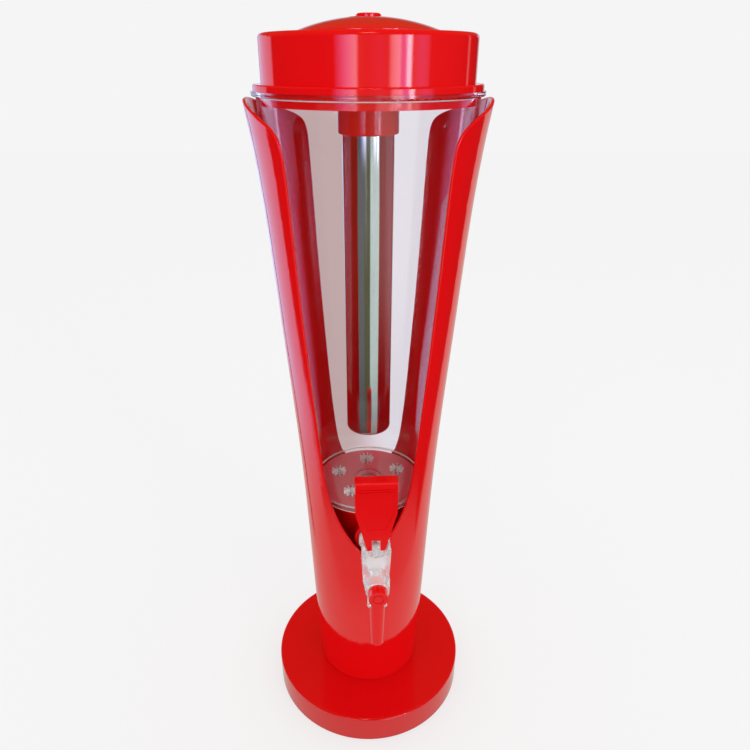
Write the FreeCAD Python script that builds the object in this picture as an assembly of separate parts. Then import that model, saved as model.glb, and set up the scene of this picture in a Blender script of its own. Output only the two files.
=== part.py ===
import FreeCAD, Part
import math
import os

# Beer tower dispenser. Millimetres, +Z up, origin at the centre of the underside.
# The tap faces -Y. The vessel, its column and the tap are turned a little in the shells.

os.makedirs("parts", exist_ok=True)

# ---- Clearances ----
RUN_FIT = 0.05          # radial, a shaft that turns or slides in its bore
SEAL_FIT = 0.1          # radial, two pieces of one body that plug together
SCREW_FIT = 0.2         # radial, a screw through a clearance hole
FREE_GAP = 0.35         # between curved faces that don't touch
OVERSHOOT = 5.0         # how far a cutting tool runs past the face it opens
BITE = 1.0              # how deep the parts of one moulding run into each other
TOLERANCE = 0.01

# ---- Screws ----
SCREW_R = 1.5
SCREW_HEAD_R = 2.8
SCREW_HEAD_H = 2.0
BASE_SCREW_L = 12.0
CORE_SCREW_L = 14.0
VESSEL_SCREW_L = 9.5
SEAM_SCREW_L = 16.0
LID_SCREW_L = 9.0
DRIVER_R = 3.2          # hole that lets a screwdriver in

# ---- Base ----
PAD_T = 2.5
PAD_GAP = 1.1           # between the pad and the cover's screw heads
BASE_R = 96.0
BASE_LIFT = 0.8         # the disc's lower edge above the table
BASE_TOP = 30.8
BASE_WALL = 3.0
BASE_EDGE_R = 2.0
COVER_T = 2.5
WEIGHT_T = 16.0
WEIGHT_GAP = 0.8        # between the weight and the screw bosses
WEIGHT_CLEAR = 14.0     # between the column and the weight's bore
BASE_BOSS_COUNT = 4
BASE_BOSS_R = 3.6
FOUR_SCREWS_TURN = 45.0     # degrees from +X to the first of four screws
RIM_H = 9.6             # locating rim that the shells clamp
RIM_WALL = 4.0
BEAD_H = 2.6
BEAD_DEPTH = 1.5
BEAD_RISE = 4.2         # bead's lower edge above the disc

# ---- Shells: outer radius at shares of their height ----
SHELL_STATIONS = (
    (0.0, 50.8),
    (0.1945, 55.6),
    (0.45, 61.4),
    (0.7098, 71.7),
    (0.9341, 83.0),
    (1.0, 89.0),
)
SHELL_TOP_RISE = 3.2    # shells' ends above the vessel's mouth
SHELL_WALL = 2.9
SHELL_FOOT_EDGE_R = 0.8
SEAM_Y = -14.0          # the plane where the front shell meets the rear one
LIP_R = 1.15            # rounding of the window's lip
SEAM_BOSS_R = 4.6
SEAM_BOSS_GAP = 1.4     # between a seam boss and the column
SEAM_BOSS_RISES = (39.4, 145.4)
SEAM_BOSS_L = 11.0      # each way from the seam

# Half the front window: half-width at shares of the way from the sill to the shells' ends
SILL_DROP = 12.5        # sill below the tap's axis
WINDOW_HALF = (
    (0.0, 0.0),
    (16.3, 0.0414),
    (24.9, 0.0844),
    (32.5, 0.1371),
    (37.0, 0.2053),
    (43.8, 0.4155),
    (49.4, 0.6427),
    (52.6, 0.8061),
    (54.5, 0.8861),
    (58.8, 0.9289),
)
WINDOW_TIP = (          # both windows end alike at the shells' tips
    (72.2, 0.9565),
    (82.6, 0.9735),
    (94.7, 1.0046),
)
REAR_WINDOW_SCALE = 0.915   # the rear window's width beside the front one's

# ---- Column inside the shells ----
TURN = 3.7              # degrees about Z of column, vessel and tap
CORE_R = 38.0
CORE_WALL = 2.5
CORE_H = 213.9          # above the disc
CORE_PLATE_OVERHANG = 8.4
CORE_PLATE_T = 4.0
CORE_BOSS_COUNT = 4
CORE_BOSS_R = 4.0
CORE_BOSS_H = 30.0
SEAT_R = 15.5           # hollow boss on the column, with the tap's flat seat
SEAT_WALL = 2.7
SEAT_FACE_T = 3.0
SEAT_STAND = 10.5       # how far the seat stands out from the column

# ---- Vessel ----
GASKET_T = 2.0
VESSEL_H = 330.3
VESSEL_FLOOR_T = 5.0
VESSEL_OVERHANG = 6.6   # the vessel's foot beyond the column's plate
VESSEL_SPREAD = 25.5    # how much wider its mouth is than its foot, in radius
VESSEL_WALL = 2.5
VESSEL_CORNER_R = 4.0
RIM_FLANGE_W = 2.7
RIM_FLANGE_T = 3.2
FLOOR_BOSS_COUNT = 5
FIVE_SCREWS_TURN = 90.0     # degrees from +X to the first of five screws
FLOOR_BOSS_RING_R = 29.0
FLOOR_BOSS_R = 5.5
FLOOR_BOSS_H = 2.2
SPIGOT_BORE_R = 6.0
SPIGOT_WALL = 2.3
SPIGOT_L = 14.5
O_RING_T = 1.4

# ---- Sump that joins vessel and tap ----
SUMP_WALL = 3.9
SUMP_FLOOR_T = 3.0
SUMP_ARM_WALL = 3.5
SHANK_IN_ARM = 11.0     # how far the tap's shank reaches into the arm

# ---- Tap; lengths run forward from the column's seat ----
TAP_DROP = 26.6         # tap's axis below the column's top
SHANK_R = 6.0
TAP_BORE_R = 3.2
NUT_SIDES = 6
NUT_ACROSS_FLATS = 20.0
NUT_T = 6.0
NUT_TO_ARM = 5.5
TAP_GASKET_T = 1.5
TAP_FLANGE_R = 12.0
TAP_FLANGE_T = 3.0
NECK_R = 8.0
NECK_L = 19.7
BARREL_R = 11.2
BARREL_L = 30.3
NOSE_L = 12.4
NOSE_WALL = 2.4
FRONT_BORE_R = 7.2
FRONT_BORE_DEPTH = 10.5
PLUG_HEAD_LEDGE = 0.6
PLUG_HEAD_L = 8.4
PLUG_WALL = 1.9
PLUG_END_GAP = 1.0
PLUG_RING_R = 4.6
PLUG_RING_T = 0.8
SPOUT_SETBACK = 4.0     # spout's axis behind the barrel's front
SPOUT_TOP_R = 6.7
SPOUT_TIP_R = 5.8
SPOUT_BORE_R = 3.4
SPOUT_HEAD_DROP = 8.0   # spout's head below the tap's axis
SPOUT_L = 51.8
COLLAR_WALL = 1.6
COLLAR_DROP = 16.7      # collar's lower edge below the tap's axis

# ---- Valve ----
VALVE_SETBACK = 14.5    # valve's axis in front of the barrel's back
PLUG_R = 6.0
PLUG_H = 8.6
CHAMBER_FLOOR_DROP = 4.3    # chamber floor below the tap's axis
BONNET_RISE = 13.4      # bonnet's top above the tap's axis
BONNET_T = 3.6
BONNET_LEDGE = 1.25     # bonnet's radius beyond the chamber's
TOWER_WALL = 1.0
STEM_R = 2.2
STEM_BALL_R = 2.9
STEM_BALL_DROP = 5.0    # ball below the pivot
PIVOT_RISE = 30.4       # pivot above the tap's axis
PIVOT_AHEAD = 7.0       # pivot in front of the valve's axis
PIVOT_R = 1.6
EAR_GAP = 1.0           # between an ear and the handle's foot
EAR_FOOT_T = 2.4
EAR_SPREAD = 3.9        # how far the ear's outside stands out, beside the pivot
EAR_TIP_T = 1.0
EAR_CHAMFER = 3.0
EAR_RISE = 3.6          # ear's top above the pivot
EAR_MARGIN = 4.5        # ear behind the valve's axis
YOKE_GAP = 1.2          # between the handle's foot and the wall that joins the ears in front
YOKE_T = 2.0
YOKE_DROP = 3.0         # that wall's top corners below the pivot
YOKE_DIP_R = 10.0       # round dip in its top edge
YOKE_DIP_RISE = 2.0     # centre of the dip above the pivot

# ---- Handle; heights are above its pivot ----
HANDLE_W = 33.4
HANDLE_RISE = 65.3
HANDLE_SHOULDER_RISE = 34.6
HANDLE_T = 6.5
HEAD_T = 11.0
HEAD_H = 10.2
HEAD_EDGE_R = 1.6
GROOVE_COUNT = 2
GROOVE_W = 1.1
GROOVE_DEPTH = 0.8
FOOT_W = 14.4
FOOT_DROP = 3.0
FOOT_RISE = 15.9
HEEL_RISE = 4.0         # rear edge of the heel that reaches back to the stem
NOTCH_GAP = 0.6         # between the notch and the stem's ball
NOTCH_RISE = 7.4
BORDER_INSET = 2.2
BORDER_DEPTH = 0.5

# ---- Lid; heights are above the vessel's mouth ----
LID_FLANGE_INSET = 1.5
LID_FLANGE_W = 5.6
LID_FLANGE_T = 4.3
LID_H = 34.1
LID_WALL = 2.6
LID_EDGE_R = 3.0
DOME_R = 50.0
DOME_BASE_RISE = 1.2
DOME_RISE = 8.9
KNOB_R = 7.9
KNOB_STAND = 1.6
KNOB_T = 3.4
KNOB_EDGE_R = 0.9
KNOB_SKIN = 1.2
SCOOP_COUNT = 3
SCOOP_R = 26.0
SCOOP_RING_R = 19.5
SCOOP_DEPTH = 1.7
SKIRT_GAP = 1.2
SKIRT_WALL = 2.4        # its thinnest wall, where it steps into the lid
SKIRT_DROP = 8.5
SKIRT_PLATE_T = 2.4
STUB_GAP = 1.75         # between the stub and the ice tube's bore
STUB_WALL = 3.0
STUB_DROP = 23.0
LID_SEAL_STAND = 0.55
LID_SEAL_DROP = 3.4

# ---- Ice tube ----
ICE_TUBE_R = 19.05
ICE_TUBE_WALL = 0.8
ICE_TUBE_L = 254.0
ICE_TUBE_EDGE_R = 3.0
ICE_SEAL_T = 3.0
ICE_COLLAR_WALL = 2.95
ICE_COLLAR_DROP = 9.0       # collar's top below the vessel's mouth
ICE_COLLAR_H = 18.9
ICE_COLLAR_NECK_H = 7.0     # collar above the tube's mouth
ICE_COLLAR_EDGE_R = 1.2

# ---- Sizes that follow ----
BASE_CEILING = BASE_TOP - BASE_WALL
COVER_Z = PAD_T
WEIGHT_Z = COVER_Z + COVER_T
BASE_INNER_R = BASE_R - BASE_WALL
BASE_BOSS_RING_R = BASE_INNER_R - BASE_BOSS_R - WEIGHT_GAP
WEIGHT_OUTER_R = BASE_BOSS_RING_R - BASE_BOSS_R - WEIGHT_GAP
WEIGHT_INNER_R = CORE_R + WEIGHT_CLEAR
PAD_R = BASE_BOSS_RING_R - SCREW_HEAD_R - PAD_GAP
RIM_TOP = BASE_TOP + RIM_H
SHELL_FOOT_R = SHELL_STATIONS[0][1]
RIM_R = SHELL_FOOT_R - SHELL_WALL - SEAL_FIT
SEAM_BOSS_X = CORE_R + SEAM_BOSS_GAP + SEAM_BOSS_R
CORE_TOP = BASE_TOP + CORE_H
CORE_PLATE_R = CORE_R + CORE_PLATE_OVERHANG
CORE_PLATE_Z = CORE_TOP - CORE_PLATE_T
CORE_BOSS_RING_R = CORE_R - CORE_WALL - CORE_BOSS_R / 2.0
SEAT_Y = CORE_R + SEAT_STAND
VESSEL_FLOOR_Z = CORE_TOP + GASKET_T
VESSEL_INNER_FLOOR_Z = VESSEL_FLOOR_Z + VESSEL_FLOOR_T
VESSEL_TOP = VESSEL_FLOOR_Z + VESSEL_H
VESSEL_BOTTOM_R = CORE_PLATE_R + VESSEL_OVERHANG
VESSEL_TOP_R = VESSEL_BOTTOM_R + VESSEL_SPREAD
VESSEL_FLANGE_Z = VESSEL_TOP - RIM_FLANGE_T
SHELL_TOP = VESSEL_TOP + SHELL_TOP_RISE
SHELL_H = SHELL_TOP - BASE_TOP
RIM_FLANGE_R = VESSEL_TOP_R + RIM_FLANGE_W
SPIGOT_R = SPIGOT_BORE_R + SPIGOT_WALL
SUMP_R = SPIGOT_R + SUMP_WALL
SUMP_ARM_R = SHANK_R + SUMP_ARM_WALL
TAP_Z = CORE_TOP - TAP_DROP
SILL_Z = TAP_Z - SILL_DROP
WINDOW_H = SHELL_TOP - SILL_Z
SUMP_ARM_L = SEAT_Y - SEAT_FACE_T - NUT_T - NUT_TO_ARM
SHANK_END = SUMP_ARM_L - SHANK_IN_ARM
TAP_FLANGE_BACK = SEAT_Y + TAP_GASKET_T
TAP_FLANGE_FRONT = TAP_FLANGE_BACK + TAP_FLANGE_T
BARREL_BACK = TAP_FLANGE_FRONT + NECK_L
BARREL_BELLY = BARREL_BACK + BARREL_L
BARREL_FRONT = BARREL_BELLY + NOSE_L
BARREL_RIM_R = FRONT_BORE_R + NOSE_WALL
PLUG_HEAD_R = FRONT_BORE_R + PLUG_HEAD_LEDGE
SPOUT_Y = BARREL_FRONT - SPOUT_SETBACK
SPOUT_TOP = TAP_Z - SPOUT_HEAD_DROP
SPOUT_TIP = SPOUT_TOP - SPOUT_L
COLLAR_R = SPOUT_TOP_R + COLLAR_WALL
COLLAR_BOTTOM = TAP_Z - COLLAR_DROP
VALVE_Y = BARREL_BACK + VALVE_SETBACK
CHAMBER_R = PLUG_R + FREE_GAP
BONNET_TOP = TAP_Z + BONNET_RISE
BONNET_R = CHAMBER_R + BONNET_LEDGE
TOWER_R = BONNET_R + TOWER_WALL
PIVOT_Y = VALVE_Y + PIVOT_AHEAD
PIVOT_Z = TAP_Z + PIVOT_RISE
STEM_BALL_Z = PIVOT_Z - STEM_BALL_DROP
EAR_INNER_X = FOOT_W / 2.0 + EAR_GAP
EAR_TOP_Z = PIVOT_Z + EAR_RISE
EAR_BACK = VALVE_Y - EAR_MARGIN
YOKE_BACK = PIVOT_Y + HANDLE_T / 2.0 + YOKE_GAP
EAR_FRONT = YOKE_BACK + YOKE_T
HANDLE_TOP = PIVOT_Z + HANDLE_RISE
HANDLE_SHOULDER_Z = PIVOT_Z + HANDLE_SHOULDER_RISE
FOOT_BOTTOM = PIVOT_Z - FOOT_DROP
FOOT_TOP = PIVOT_Z + FOOT_RISE
HEEL_BACK = VALVE_Y - HANDLE_T / 2.0
NOTCH_W = 2 * (STEM_BALL_R + NOTCH_GAP)
NOTCH_TOP = PIVOT_Z + NOTCH_RISE
HANDLE_SPREAD = (HANDLE_W - FOOT_W) / 2.0 / (HANDLE_SHOULDER_Z - FOOT_BOTTOM)
LID_BOTTOM = VESSEL_TOP
LID_TOP = LID_BOTTOM + LID_H
LID_FLANGE_TOP = LID_BOTTOM + LID_FLANGE_T
LID_FLANGE_R = RIM_FLANGE_R - LID_FLANGE_INSET
LID_R = LID_FLANGE_R - LID_FLANGE_W
DOME_TOP = LID_TOP + DOME_BASE_RISE + DOME_RISE
KNOB_TOP = DOME_TOP + KNOB_STAND
KNOB_BOTTOM = KNOB_TOP - KNOB_T
SKIRT_R = VESSEL_TOP_R - VESSEL_WALL - SKIRT_GAP
SKIRT_BOTTOM = LID_BOTTOM - SKIRT_DROP
LID_SEAL_R = SKIRT_R + LID_SEAL_STAND
LID_SEAL_Z = LID_BOTTOM - LID_SEAL_DROP
STUB_R = ICE_TUBE_R - ICE_TUBE_WALL - STUB_GAP
STUB_BORE_R = STUB_R - STUB_WALL
STUB_BOTTOM = LID_BOTTOM - STUB_DROP
ICE_COLLAR_R = ICE_TUBE_R + ICE_COLLAR_WALL
ICE_COLLAR_TOP = LID_BOTTOM - ICE_COLLAR_DROP
ICE_COLLAR_BOTTOM = ICE_COLLAR_TOP - ICE_COLLAR_H
ICE_COLLAR_LEDGE = ICE_COLLAR_TOP - ICE_COLLAR_NECK_H
ICE_TUBE_BOTTOM = ICE_COLLAR_LEDGE - ICE_TUBE_L

ORIGIN = FreeCAD.Vector(0, 0, 0)
UP = FreeCAD.Vector(0, 0, 1)
FORWARD = FreeCAD.Vector(0, -1, 0)
SIDEWAYS = FreeCAD.Vector(1, 0, 0)


# ---- Building blocks ----
def upright(radius, bottom, top, x=0.0, y=0.0):
    """A vertical cylinder."""
    return Part.makeCylinder(radius, top - bottom, FreeCAD.Vector(x, y, bottom), UP)


def forward_rod(radius, back, front, z=TAP_Z, x=0.0):
    """A cylinder along -Y, from one distance in front of the axis to another."""
    return Part.makeCylinder(radius, front - back, FreeCAD.Vector(x, -back, z), FORWARD)


def sideways_rod(radius, left, right, y, z):
    """A cylinder along +X."""
    return Part.makeCylinder(radius, right - left, FreeCAD.Vector(left, y, z), SIDEWAYS)


def block(left, right, back, front, bottom, top):
    """A box; back and front are distances in front of the axis."""
    corner = FreeCAD.Vector(left, -front, bottom)
    return Part.makeBox(right - left, front - back, top - bottom, corner)


def spun(points):
    """A solid of revolution about Z from (radius, height) corners."""
    corners = [FreeCAD.Vector(radius, 0, height) for radius, height in points]
    face = Part.Face(Part.makePolygon(corners + corners[:1]))
    return face.revolve(ORIGIN, UP, 360)


def prism_y(points, back, front):
    """An (x, z) outline drawn through from back to front."""
    corners = [FreeCAD.Vector(x, -back, z) for x, z in points]
    face = Part.Face(Part.makePolygon(corners + corners[:1]))
    return face.extrude(FORWARD * (front - back))


def prism_x(points, left, right):
    """A (distance in front, z) outline drawn through from left to right."""
    corners = [FreeCAD.Vector(left, -front, z) for front, z in points]
    face = Part.Face(Part.makePolygon(corners + corners[:1]))
    return face.extrude(SIDEWAYS * (right - left))


def ring_places(count, radius, first_degrees=0.0):
    """Evenly spaced places on a circle."""
    places = []
    for index in range(count):
        angle = math.radians(first_degrees + index * 360.0 / count)
        places.append((radius * math.cos(angle), radius * math.sin(angle)))
    return places


def o_ring(ring_r, wire_r, z):
    """A round cord ring about Z."""
    return Part.makeTorus(ring_r, wire_r, FreeCAD.Vector(0, 0, z), UP)


def joined(shapes):
    """One shape from overlapping ones, without the seams between them."""
    first = shapes[0]
    return first.fuse(shapes[1:]).removeSplitter()


def grouped(shapes):
    """Separate solids that share one node."""
    return Part.makeCompound(shapes)


def screw(length, x, y, top):
    """A pan head screw that points up, its tip at the given height."""
    under_head = top - length
    head = upright(SCREW_HEAD_R, under_head - SCREW_HEAD_H, under_head, x, y)
    slot = SCREW_HEAD_R / 2.0
    recess = Part.makeBox(slot, slot, SCREW_HEAD_H / 2.0)
    recess.translate(FreeCAD.Vector(x - slot / 2.0, y - slot / 2.0, under_head - SCREW_HEAD_H))
    return joined([upright(SCREW_R, under_head, top, x, y), head]).cut(recess)


def rounded(shape, radius, wanted):
    """Fillets the edges that the test picks."""
    return shape.makeFillet(radius, [edge for edge in shape.Edges if wanted(edge)])


def circle_at(edge, radius, height):
    """True for a full circle about Z of this radius at this height."""
    if edge.Curve.TypeId != "Part::GeomCircle":
        return False
    at_height = abs(edge.CenterOfMass.z - height) < TOLERANCE
    return at_height and abs(edge.Curve.Radius - radius) < TOLERANCE


def turned(shape):
    """The shape turned about Z with the vessel and tap."""
    shape.rotate(ORIGIN, UP, TURN)
    return shape


# ---- Base ----
def base_disc():
    """Hollow disc with a rim on top, which the shells clamp, and bosses for the cover."""
    skin = spun([
        (0, BASE_CEILING), (BASE_INNER_R, BASE_CEILING), (BASE_INNER_R, BASE_LIFT),
        (BASE_R, BASE_LIFT), (BASE_R, BASE_TOP), (0, BASE_TOP),
    ])
    skin = rounded(skin, BASE_EDGE_R, lambda edge: circle_at(edge, BASE_R, BASE_TOP))
    groove_r = RIM_R - BEAD_DEPTH
    groove_z = BASE_TOP + BEAD_RISE
    rim = spun([
        (RIM_R - RIM_WALL, BASE_CEILING), (RIM_R, BASE_CEILING), (RIM_R, groove_z),
        (groove_r, groove_z), (groove_r, groove_z + BEAD_H), (RIM_R, groove_z + BEAD_H),
        (RIM_R, RIM_TOP), (RIM_R - RIM_WALL, RIM_TOP),
    ])
    bosses = []
    pilots = []
    for x, y in ring_places(BASE_BOSS_COUNT, BASE_BOSS_RING_R, FOUR_SCREWS_TURN):
        bosses.append(upright(BASE_BOSS_R, WEIGHT_Z, BASE_TOP - BASE_WALL / 2.0, x, y))
        pilots.append(upright(SCREW_R, COVER_Z, COVER_Z + BASE_SCREW_L, x, y))
    for x, y in ring_places(CORE_BOSS_COUNT, CORE_BOSS_RING_R, FOUR_SCREWS_TURN + TURN):
        pilots.append(upright(SCREW_R + SCREW_FIT, BASE_CEILING - OVERSHOOT, RIM_TOP, x, y))
    return joined([skin, rim] + bosses).cut(pilots)


def base_cover():
    """Plate that closes the disc from below, with holes for its screws."""
    plate = upright(BASE_INNER_R - FREE_GAP, COVER_Z, COVER_Z + COVER_T)
    holes = []
    for x, y in ring_places(BASE_BOSS_COUNT, BASE_BOSS_RING_R, FOUR_SCREWS_TURN):
        holes.append(upright(SCREW_R + SCREW_FIT, 0, WEIGHT_Z, x, y))
    return plate.cut(holes)


def base_screws():
    screws = []
    for x, y in ring_places(BASE_BOSS_COUNT, BASE_BOSS_RING_R, FOUR_SCREWS_TURN):
        screws.append(screw(BASE_SCREW_L, x, y, COVER_Z + BASE_SCREW_L))
    return grouped(screws)


def base_weight():
    """Cast ring that keeps the full tower from tipping."""
    return spun([
        (WEIGHT_INNER_R, WEIGHT_Z), (WEIGHT_OUTER_R, WEIGHT_Z),
        (WEIGHT_OUTER_R, WEIGHT_Z + WEIGHT_T), (WEIGHT_INNER_R, WEIGHT_Z + WEIGHT_T),
    ])


def foot_pad():
    return upright(PAD_R, 0, PAD_T)


# ---- Shells ----
def shell_solid(inset, direction):
    """The body of revolution inside the shells' outer face, less the inset.

    Its seam line lies away from the half that the direction names.
    """
    curve = Part.BSplineCurve()
    curve.interpolate([
        FreeCAD.Vector(0, direction * (inset - radius), BASE_TOP + share * SHELL_H)
        for share, radius in SHELL_STATIONS])
    side = curve.toShape()
    foot, tip = side.firstVertex().Point, side.lastVertex().Point
    foot_centre = FreeCAD.Vector(0, 0, foot.z)
    tip_centre = FreeCAD.Vector(0, 0, tip.z)
    edges = [
        side, Part.makeLine(tip, tip_centre), Part.makeLine(tip_centre, foot_centre),
        Part.makeLine(foot_centre, foot),
    ]
    return Part.Face(Part.Wire(edges)).revolve(ORIGIN, UP, 360)


def window_tool(scale, direction):
    """A through-cutter with the window's outline, in front (-1) or behind (1)."""
    half = [(x * scale, share) for x, share in WINDOW_HALF] + list(WINDOW_TIP)
    mirrored = [(-x, share) for x, share in reversed(half[1:])]
    curve = Part.BSplineCurve()
    curve.interpolate([
        FreeCAD.Vector(x, SEAM_Y, SILL_Z + share * WINDOW_H) for x, share in mirrored + half])
    side = curve.toShape()
    end_x, end_share = WINDOW_TIP[-1]
    end_z = SILL_Z + end_share * WINDOW_H
    roof_z = end_z + OVERSHOOT
    corners = [
        FreeCAD.Vector(end_x, SEAM_Y, end_z), FreeCAD.Vector(end_x, SEAM_Y, roof_z),
        FreeCAD.Vector(-end_x, SEAM_Y, roof_z), FreeCAD.Vector(-end_x, SEAM_Y, end_z),
    ]
    roof = [Part.makeLine(a, b) for a, b in zip(corners, corners[1:])]
    face = Part.Face(Part.Wire([side] + roof))
    face.translate(FreeCAD.Vector(0, -direction * OVERSHOOT, 0))
    return face.extrude(FreeCAD.Vector(0, direction * 2 * BASE_R, 0))


def on_window(edge):
    """True for an edge that follows the window from tip to tip."""
    box = edge.BoundBox
    reaches_both_tips = box.XLength > 2 * WINDOW_TIP[0][0]
    return reaches_both_tips and box.ZMin > SILL_Z - SHELL_WALL and box.ZLength > WINDOW_H / 2.0


def half_shell(direction, scale):
    """The tube's wall in front of the seam (-1) or behind it (1), with its window."""
    wall = shell_solid(0.0, direction).cut(shell_solid(SHELL_WALL, direction))
    groove_r = RIM_R - BEAD_DEPTH + SEAL_FIT
    bead_z = BASE_TOP + BEAD_RISE + SEAL_FIT
    bead_top = bead_z + BEAD_H - 2 * SEAL_FIT
    bead_root = SHELL_FOOT_R - SHELL_WALL / 2.0
    bead = spun([(groove_r, bead_z), (bead_root, bead_z), (bead_root, bead_top), (groove_r, bead_top)])
    side = BASE_R * 2.0
    seam = SEAM_Y if direction > 0 else SEAM_Y - side
    keep = Part.makeBox(2 * side, side, 2 * VESSEL_TOP, FreeCAD.Vector(-side, seam, 0))
    wall = rounded(wall, SHELL_FOOT_EDGE_R, lambda edge: circle_at(edge, SHELL_FOOT_R, BASE_TOP))
    wall = wall.common(keep).cut(window_tool(scale, direction))
    wall = rounded(wall, LIP_R, on_window)
    inner_parts = [bead.common(keep)] + seam_bosses(direction)
    return joined([wall] + inner_parts).cut(seam_holes(direction))


def seam_places():
    return [(side * SEAM_BOSS_X, BASE_TOP + rise) for rise in SEAM_BOSS_RISES for side in (-1, 1)]


def seam_bosses(direction):
    """Round bosses along Y inside the wall, which meet at the seam."""
    inside = shell_solid(SHELL_WALL / 2.0, direction)
    core_room = upright(CORE_R + 2 * FREE_GAP, BASE_TOP, CORE_TOP)
    bosses = []
    for x, z in seam_places():
        length = SEAM_BOSS_L if direction < 0 else BASE_R
        start = FreeCAD.Vector(x, SEAM_Y, z)
        boss = Part.makeCylinder(SEAM_BOSS_R, length, start, FreeCAD.Vector(0, direction, 0))
        bosses.append(boss.common(inside).cut(core_room))
    return bosses


def seam_holes(direction):
    """A pilot hole in the front shell, a counterbored one in the rear shell."""
    holes = []
    for x, z in seam_places():
        seat = SEAM_Y + SEAM_BOSS_L - SCREW_HEAD_H
        if direction < 0:
            tip = SEAM_Y + SEAM_BOSS_L - SCREW_HEAD_H - SEAM_SCREW_L
            start = FreeCAD.Vector(x, tip, z)
            holes.append(Part.makeCylinder(SCREW_R, SEAM_Y - tip, start, FreeCAD.Vector(0, 1, 0)))
        else:
            start = FreeCAD.Vector(x, SEAM_Y, z)
            shank = SCREW_R + SCREW_FIT
            holes.append(Part.makeCylinder(shank, seat - SEAM_Y, start, FreeCAD.Vector(0, 1, 0)))
            start = FreeCAD.Vector(x, seat, z)
            holes.append(Part.makeCylinder(DRIVER_R, BASE_R, start, FreeCAD.Vector(0, 1, 0)))
    return holes


# ---- Column ----
def core_tube():
    """Round column that carries the vessel: plate on top, hollow tap seat in front."""
    inner_r = CORE_R - CORE_WALL
    tube = spun([
        (inner_r, BASE_TOP), (CORE_R, BASE_TOP), (CORE_R, CORE_PLATE_Z), (CORE_PLATE_R, CORE_PLATE_Z),
        (CORE_PLATE_R, CORE_TOP), (0, CORE_TOP), (0, CORE_PLATE_Z), (inner_r, CORE_PLATE_Z),
    ])
    bosses = []
    holes = []
    for x, y in ring_places(CORE_BOSS_COUNT, CORE_BOSS_RING_R, FOUR_SCREWS_TURN):
        bosses.append(upright(CORE_BOSS_R, BASE_TOP, BASE_TOP + CORE_BOSS_H, x, y))
        holes.append(upright(SCREW_R, BASE_TOP, BASE_CEILING + CORE_SCREW_L, x, y))
    for x, y in ring_places(FLOOR_BOSS_COUNT, FLOOR_BOSS_RING_R, FIVE_SCREWS_TURN):
        holes.append(upright(SCREW_R + SCREW_FIT, CORE_PLATE_Z, CORE_TOP, x, y))
    holes.append(upright(SPIGOT_R + SEAL_FIT, CORE_PLATE_Z, CORE_TOP))
    seat = forward_rod(SEAT_R, inner_r - CORE_WALL, SEAT_Y)
    nut_room = forward_rod(SEAT_R - SEAT_WALL, 0, SEAT_Y - SEAT_FACE_T)
    shank_hole = forward_rod(SHANK_R + SCREW_FIT, 0, SEAT_Y + OVERSHOOT)
    plate = upright(CORE_PLATE_R, CORE_PLATE_Z, CORE_TOP)
    column = joined([tube, seat] + bosses).cut([nut_room.cut(plate), shank_hole] + holes)
    return turned(column)


def core_screws():
    screws = []
    for x, y in ring_places(CORE_BOSS_COUNT, CORE_BOSS_RING_R, FOUR_SCREWS_TURN):
        screws.append(screw(CORE_SCREW_L, x, y, BASE_CEILING + CORE_SCREW_L))
    return turned(grouped(screws))


def seam_screws():
    """Screws along Y that pull the rear shell to the front one."""
    screws = []
    seat = SEAM_Y + SEAM_BOSS_L - SCREW_HEAD_H
    for x, z in seam_places():
        upright_screw = screw(SEAM_SCREW_L, 0, 0, 0)
        upright_screw.rotate(ORIGIN, SIDEWAYS, 90.0)
        upright_screw.translate(FreeCAD.Vector(x, seat - SEAM_SCREW_L, z))
        screws.append(upright_screw)
    return grouped(screws)


# ---- Vessel ----
def vessel():
    """Clear tapered vessel with a flanged mouth, blind screw bosses and an outlet."""
    inner_bottom_r = VESSEL_BOTTOM_R - VESSEL_WALL
    outside = spun([
        (0, VESSEL_FLOOR_Z), (VESSEL_BOTTOM_R, VESSEL_FLOOR_Z), (VESSEL_TOP_R, VESSEL_TOP), (0, VESSEL_TOP),
    ])
    outside = rounded(
        outside, VESSEL_CORNER_R, lambda edge: circle_at(edge, VESSEL_BOTTOM_R, VESSEL_FLOOR_Z))
    inside = spun([
        (0, VESSEL_INNER_FLOOR_Z), (inner_bottom_r, VESSEL_INNER_FLOOR_Z),
        (VESSEL_TOP_R - VESSEL_WALL, VESSEL_TOP), (0, VESSEL_TOP),
    ])
    inside = rounded(
        inside, VESSEL_WALL, lambda edge: circle_at(edge, inner_bottom_r, VESSEL_INNER_FLOOR_Z))
    flange = spun([
        (0, VESSEL_FLANGE_Z), (RIM_FLANGE_R, VESSEL_FLANGE_Z), (RIM_FLANGE_R, VESSEL_TOP), (0, VESSEL_TOP),
    ])
    flange = rounded(flange, LIP_R, lambda edge: circle_at(edge, RIM_FLANGE_R, VESSEL_FLANGE_Z))
    spigot = upright(SPIGOT_R, VESSEL_FLOOR_Z - SPIGOT_L, VESSEL_INNER_FLOOR_Z)
    body = joined([outside, flange, spigot]).cut(inside)
    bosses = []
    holes = [upright(SPIGOT_BORE_R, VESSEL_FLOOR_Z - SPIGOT_L, VESSEL_INNER_FLOOR_Z)]
    for x, y in ring_places(FLOOR_BOSS_COUNT, FLOOR_BOSS_RING_R, FIVE_SCREWS_TURN):
        boss_top = VESSEL_INNER_FLOOR_Z + FLOOR_BOSS_H
        bosses.append(upright(FLOOR_BOSS_R, VESSEL_FLOOR_Z, boss_top, x, y))
        holes.append(upright(SCREW_R, VESSEL_FLOOR_Z, CORE_PLATE_Z + VESSEL_SCREW_L, x, y))
    return turned(joined([body] + bosses).cut(holes))


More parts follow.
